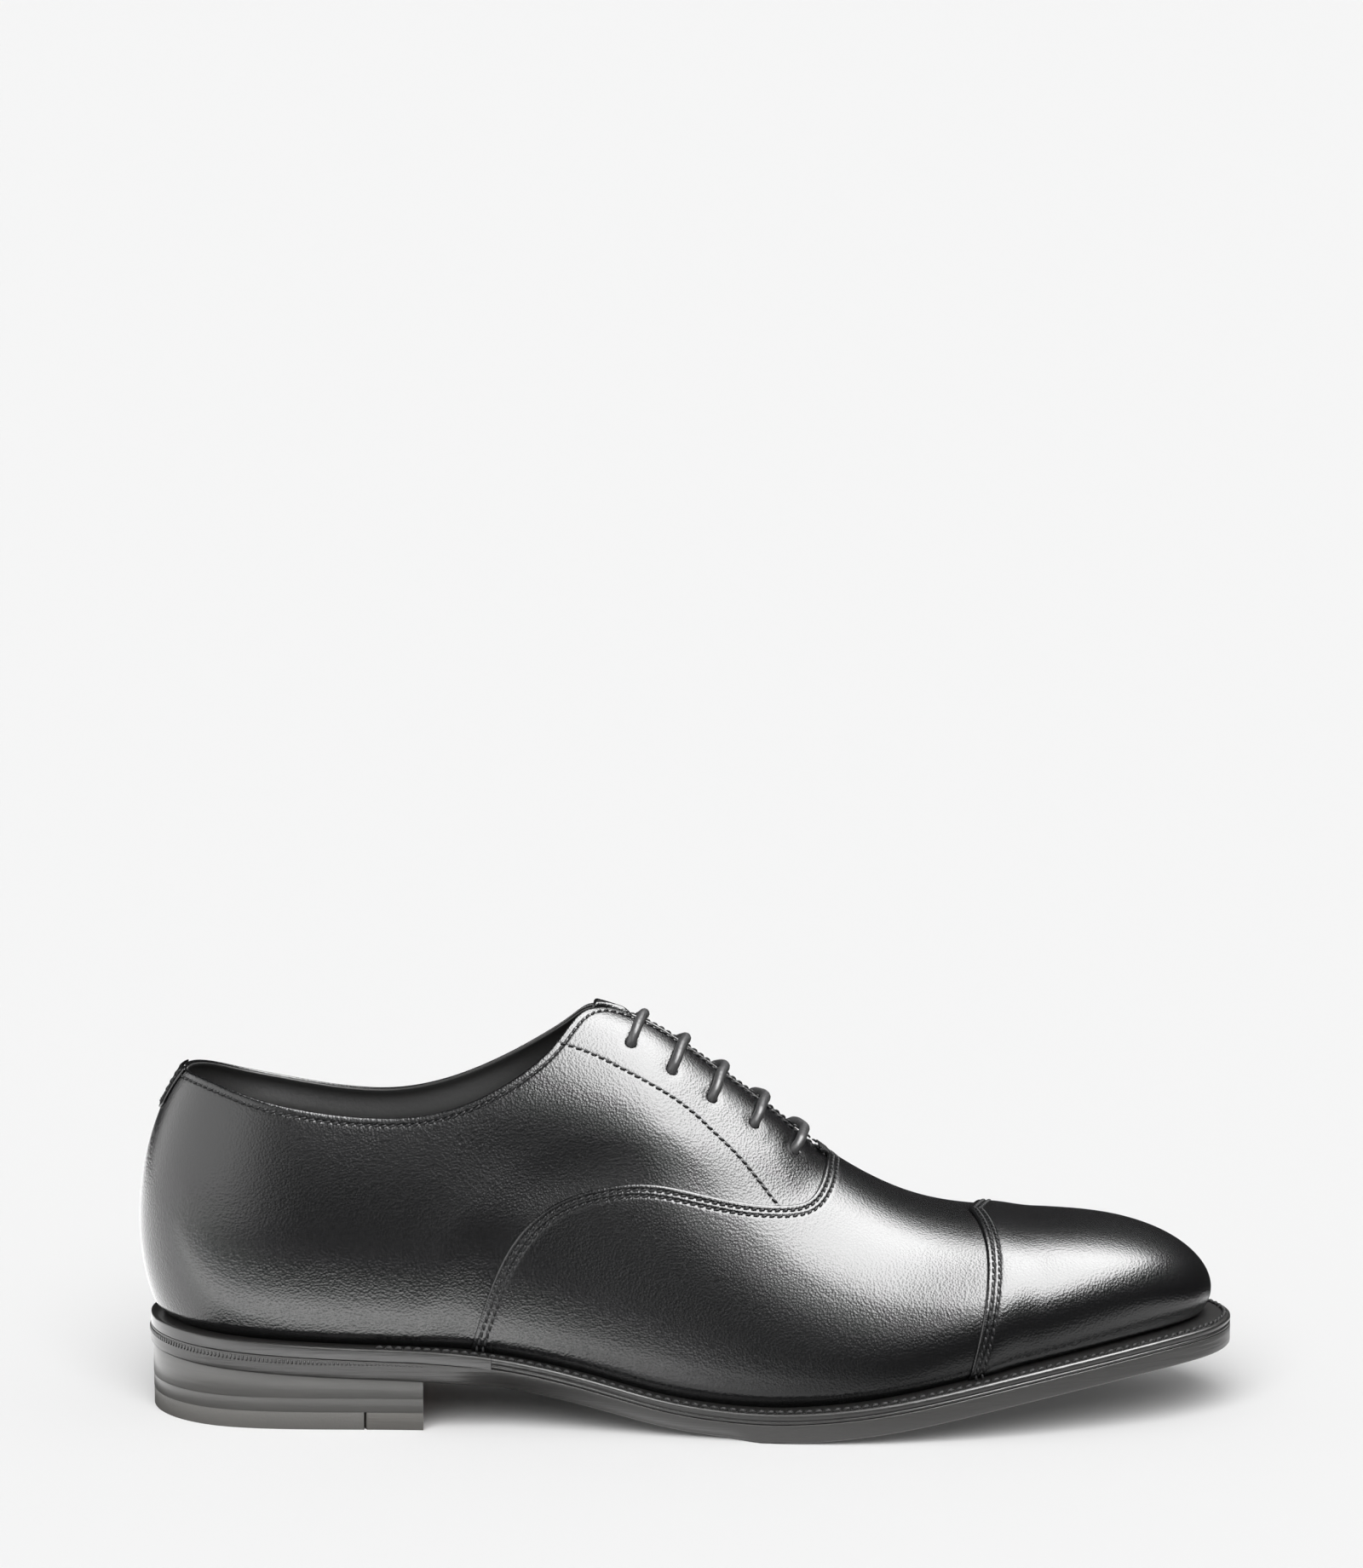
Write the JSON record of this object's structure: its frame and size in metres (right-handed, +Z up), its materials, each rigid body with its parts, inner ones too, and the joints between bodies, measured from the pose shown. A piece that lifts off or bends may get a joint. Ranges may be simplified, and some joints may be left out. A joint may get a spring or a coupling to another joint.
{
  "type": "leather oxford shoe",
  "caption": "Closed-lacing leather dress shoe with a cap toe, welted leather sole, stacked heel and a tongue that swings in; the forepart flexes.",
  "frame": {"origin": "middle of the heel's top piece, on the ground", "axes": "+X towards the toe, +Z up, +Y towards the inner side of a right shoe"},
  "size_m": [0.3042, 0.1022, 0.1116],
  "materials": {
    "upper_leather": "polished black calf",
    "lining_leather": "matt",
    "stiffener": "rough",
    "insole_leather": "matt",
    "cork": "granular",
    "steel": "plain",
    "sole_edge": "waxed edge",
    "sole_leather": "waxed edge",
    "heel_stack": "satin",
    "rubber": "satin",
    "lace": "waxed cord",
    "brass": "plain"
  },
  "bodies": {
    "root": {"vamp": "upper_leather", "quarter_lateral": "upper_leather", "quarter_medial": "upper_leather", "back_strip": "upper_leather", "vamp_lining": "lining_leather", "quarter_lining_lateral": "lining_leather", "quarter_lining_medial": "lining_leather", "sock_liner": "lining_leather", "facing_stay_lateral": "stiffener", "facing_stay_medial": "stiffener", "heel_counter": "stiffener", "insole_rear": "insole_leather", "insole_rib_lateral": "insole_leather", "insole_rib_medial": "insole_leather", "cork_filler_rear": "cork", "shank": "steel", "welt_waist_lateral": "sole_edge", "welt_waist_medial": "sole_edge", "heel_rand": "sole_edge", "outsole_rear": "sole_leather", "heel_wedge_lift": "heel_stack", "heel_lift": "heel_stack", "top_piece_leather": "heel_stack", "top_piece_rubber": "rubber", "heel_nail_1": "steel", "heel_nail_2": "steel", "heel_nail_3": "steel", "heel_nail_4": "steel", "heel_nail_5": "steel", "lace": "lace", "lace_tip_1": "brass", "lace_tip_2": "brass", "eyelet_lateral_1": "brass", "eyelet_lateral_2": "brass", "eyelet_lateral_3": "brass", "eyelet_lateral_4": "brass", "eyelet_lateral_5": "brass", "eyelet_medial_1": "brass", "eyelet_medial_2": "brass", "eyelet_medial_3": "brass", "eyelet_medial_4": "brass", "eyelet_medial_5": "brass"},
    "forepart": {"toe_cap": "upper_leather", "toe_puff": "stiffener", "insole_fore": "insole_leather", "insole_rib_fore": "insole_leather", "cork_filler_fore": "cork", "welt_fore": "sole_edge", "outsole_fore": "sole_leather"},
    "tongue": {"tongue": "upper_leather", "tongue_lining": "lining_leather"}
  },
  "joints": [
    {"name": "toe_flex", "type": "hinge", "parent": "root", "child": "forepart", "pos_m": [0.172, 0, 0.0148], "axis": [0, -1, 0], "range_deg": [0, 30], "stiffness_Nm_per_rad": 4, "deforming": ["vamp", "vamp_lining"]},
    {"name": "tongue_swing", "type": "hinge", "parent": "root", "child": "tongue", "pos_m": [0.16, 0, 0.0545], "axis": [0, -1, 0], "range_deg": [0, 18]}
  ]
}
